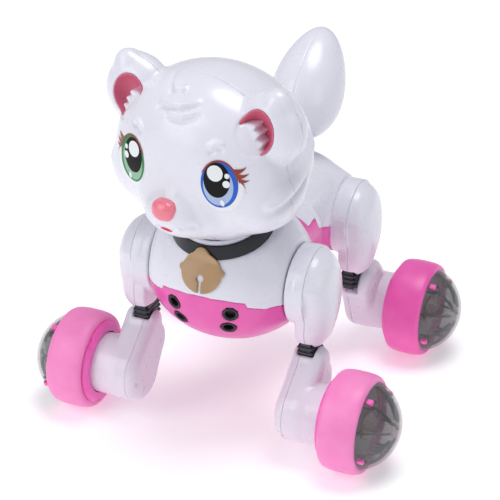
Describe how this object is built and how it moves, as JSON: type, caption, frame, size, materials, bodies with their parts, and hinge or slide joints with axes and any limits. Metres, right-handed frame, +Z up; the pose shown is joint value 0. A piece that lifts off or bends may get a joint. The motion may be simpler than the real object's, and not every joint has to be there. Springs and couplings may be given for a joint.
{
  "type": "electronic robot kitten toy",
  "caption": "Posable electronic robot kitten with a turning head, hinged legs, free-turning domed wheels, an egg-shaped tail, a bell collar and a battery door under its belly.",
  "frame": {"origin": "on the ground plane, under the centre of the object's bounding box", "axes": "+Z up, -Y the way the kitten faces, +X its left side"},
  "size_m": [0.1942, 0.1769, 0.198],
  "materials": {
    "white_shell": "glossy moulded ABS, white with a faint cool tint",
    "pink_belly": "glossy magenta-pink moulded plastic",
    "pink_hub": "satin bright pink moulded plastic",
    "pink_tyre": "soft satin pink tyre",
    "charcoal_link": "satin charcoal plastic",
    "black_gloss": "glossy black plastic",
    "smoke_dome": "clear smoke-tinted moulded plastic",
    "bell_gold": "printed brown-gold plate",
    "coral_nose": "glossy coral-pink plastic",
    "ear_rose": "dusky rose plastic",
    "eye_print": "glossy printed eye plates, one blue and one green",
    "steel": "bright steel",
    "motor_can": "motor and gearbox housing",
    "board_green": "circuit board with components",
    "battery_wrap": "printed battery wrap",
    "speaker_black": "paper cone and frame",
    "lamp_red": "red lamp board and lens",
    "neck_grey": "light grey plastic"
  },
  "bodies": {
    "torso": {"chest_shell": "white_shell", "back_shell": "white_shell", "belly_shell": "pink_belly", "batteries": "battery_wrap", "main_board": "board_green", "speaker": "speaker_black", "sound_ports": "black_gloss", "case_screws": "steel", "tail": "white_shell", "collar_band": "black_gloss", "bell_badge": "bell_gold", "head_motor": "motor_can"},
    "head": {"face_shell": "white_shell", "skull_shell": "white_shell", "nose": "coral_nose", "eyes": "eye_print", "ear_linings": "ear_rose", "neck_post": "neck_grey"},
    "battery_door": {"battery_door": "pink_belly"},
    "power_switch": {"power_switch": "black_gloss"},
    "thigh_fl": {"thigh_inner_fl": "white_shell", "thigh_outer_fl": "white_shell", "knee_link_fl": "charcoal_link"},
    "shin_fl": {"shin_inner_fl": "white_shell", "shin_outer_fl": "white_shell", "wheel_shaft_fl": "motor_can"},
    "wheel_fl": {"hub_fl": "pink_hub", "tyre_fl": "pink_tyre", "dome_fl": "smoke_dome", "lamp_fl": "lamp_red"},
    "thigh_fr": {"thigh_inner_fr": "white_shell", "thigh_outer_fr": "white_shell", "knee_link_fr": "charcoal_link"},
    "shin_fr": {"shin_inner_fr": "white_shell", "shin_outer_fr": "white_shell", "wheel_shaft_fr": "motor_can"},
    "wheel_fr": {"hub_fr": "pink_hub", "tyre_fr": "pink_tyre", "dome_fr": "smoke_dome", "lamp_fr": "lamp_red"},
    "thigh_rl": {"thigh_inner_rl": "white_shell", "thigh_outer_rl": "white_shell", "knee_link_rl": "charcoal_link"},
    "shin_rl": {"shin_inner_rl": "white_shell", "shin_outer_rl": "white_shell", "wheel_shaft_rl": "steel"},
    "wheel_rl": {"hub_rl": "pink_hub", "tyre_rl": "pink_tyre", "dome_rl": "smoke_dome", "lamp_rl": "lamp_red"},
    "thigh_rr": {"thigh_inner_rr": "white_shell", "thigh_outer_rr": "white_shell", "knee_link_rr": "charcoal_link"},
    "shin_rr": {"shin_inner_rr": "white_shell", "shin_outer_rr": "white_shell", "wheel_shaft_rr": "steel"},
    "wheel_rr": {"hub_rr": "pink_hub", "tyre_rr": "pink_tyre", "dome_rr": "smoke_dome", "lamp_rr": "lamp_red"}
  },
  "joints": [
    {"name": "head_turn", "type": "hinge", "parent": "torso", "child": "head", "pos_m": [0, -0.04132, 0.11087], "axis": [0, -0.289, 0.9573], "range_deg": [-20, 40]},
    {"name": "hip_fl", "type": "hinge", "parent": "torso", "child": "thigh_fl", "pos_m": [0.0356, -0.033, 0.0833], "axis": [1, 0, 0], "range_deg": [-20, 10]},
    {"name": "knee_fl", "type": "hinge", "parent": "thigh_fl", "child": "shin_fl", "pos_m": [0.0356, -0.038, 0.0493], "axis": [1, 0, 0], "range_deg": [-10, 30]},
    {"name": "wheel_spin_fl", "type": "hinge", "parent": "shin_fl", "child": "wheel_fl", "pos_m": [0.0765, -0.05289, 0.025], "axis": [1, 0, 0], "continuous": true},
    {"name": "hip_fr", "type": "hinge", "parent": "torso", "child": "thigh_fr", "pos_m": [-0.0356, -0.033, 0.0833], "axis": [1, 0, 0], "range_deg": [-20, 10]},
    {"name": "knee_fr", "type": "hinge", "parent": "thigh_fr", "child": "shin_fr", "pos_m": [-0.0356, -0.038, 0.0493], "axis": [1, 0, 0], "range_deg": [-10, 30]},
    {"name": "wheel_spin_fr", "type": "hinge", "parent": "shin_fr", "child": "wheel_fr", "pos_m": [-0.0765, -0.05289, 0.025], "axis": [1, 0, 0], "continuous": true},
    {"name": "hip_rl", "type": "hinge", "parent": "torso", "child": "thigh_rl", "pos_m": [0.0251, 0.0486, 0.0794], "axis": [1, 0, 0], "range_deg": [-10, 20]},
    {"name": "knee_rl", "type": "hinge", "parent": "thigh_rl", "child": "shin_rl", "pos_m": [0.0251, 0.0436, 0.0454], "axis": [1, 0, 0], "range_deg": [-30, 8]},
    {"name": "wheel_spin_rl", "type": "hinge", "parent": "shin_rl", "child": "wheel_rl", "pos_m": [0.066, 0.06351, 0.025], "axis": [1, 0, 0], "continuous": true},
    {"name": "hip_rr", "type": "hinge", "parent": "torso", "child": "thigh_rr", "pos_m": [-0.0251, 0.0486, 0.0794], "axis": [1, 0, 0], "range_deg": [-10, 20]},
    {"name": "knee_rr", "type": "hinge", "parent": "thigh_rr", "child": "shin_rr", "pos_m": [-0.0251, 0.0436, 0.0454], "axis": [1, 0, 0], "range_deg": [-30, 8]},
    {"name": "wheel_spin_rr", "type": "hinge", "parent": "shin_rr", "child": "wheel_rr", "pos_m": [-0.066, 0.06351, 0.025], "axis": [1, 0, 0], "continuous": true},
    {"name": "battery_door_lift", "type": "slide", "parent": "torso", "child": "battery_door", "axis": [0, 0, -1], "range_m": [0, 0.015]},
    {"name": "power_switch_slide", "type": "slide", "parent": "torso", "child": "power_switch", "axis": [0, 1, 0], "range_m": [0, 0.005]}
  ]
}
